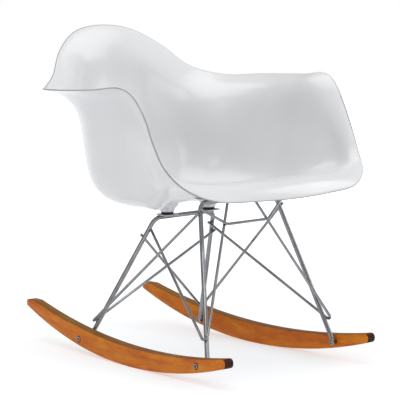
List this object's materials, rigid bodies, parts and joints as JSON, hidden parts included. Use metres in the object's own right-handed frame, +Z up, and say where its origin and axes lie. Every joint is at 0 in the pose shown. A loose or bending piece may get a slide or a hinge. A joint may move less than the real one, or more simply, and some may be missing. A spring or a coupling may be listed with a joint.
{
  "type": "rocking chair",
  "caption": "Rocking armchair: a moulded plastic bucket shell on a base of bent steel wire, standing on bowed wooden rockers.",
  "frame": {"origin": "on the floor, at the middle of the chair's footprint box", "axes": "+Z up; the sitter looks along -Y, so +Y is the chair's back; +X is the sitter's left"},
  "size_m": [0.628, 0.6902, 0.686],
  "materials": {
    "shell_plastic": "white moulded polypropylene, satin gloss",
    "rocker_wood": "honey-stained maple under a satin lacquer",
    "chrome_wire": "bright chrome plate",
    "bolt_steel": "bright plated steel",
    "plated_steel": "zinc-plated steel",
    "rubber": "black rubber",
    "insert_brass": "plain brass"
  },
  "bodies": {
    "root": {"seat_shell": "shell_plastic", "mount_plate_rear_left": "plated_steel", "rubber_grommet_rear_left": "rubber", "seat_screw_rear_left": "plated_steel", "threaded_insert_rear_left": "insert_brass", "mount_plate_rear_right": "plated_steel", "rubber_grommet_rear_right": "rubber", "seat_screw_rear_right": "plated_steel", "threaded_insert_rear_right": "insert_brass", "mount_plate_front_left": "plated_steel", "rubber_grommet_front_left": "rubber", "seat_screw_front_left": "plated_steel", "threaded_insert_front_left": "insert_brass", "mount_plate_front_right": "plated_steel", "rubber_grommet_front_right": "rubber", "seat_screw_front_right": "plated_steel", "threaded_insert_front_right": "insert_brass", "rear_hoop": "chrome_wire", "front_hoop": "chrome_wire", "cross_brace": "chrome_wire", "rear_brace_left": "chrome_wire", "front_brace_left": "chrome_wire", "rocker_left": "rocker_wood", "rear_brace_right": "chrome_wire", "front_brace_right": "chrome_wire", "rocker_right": "rocker_wood", "rocker_bolt_rear_left": "bolt_steel", "rocker_washer_rear_left": "bolt_steel", "foot_barrel_rear_left": "chrome_wire", "rocker_bolt_rear_right": "bolt_steel", "rocker_washer_rear_right": "bolt_steel", "foot_barrel_rear_right": "chrome_wire", "rocker_bolt_front_left": "bolt_steel", "rocker_washer_front_left": "bolt_steel", "foot_barrel_front_left": "chrome_wire", "rocker_bolt_front_right": "bolt_steel", "rocker_washer_front_right": "bolt_steel", "foot_barrel_front_right": "chrome_wire"}
  },
  "joints": []
}
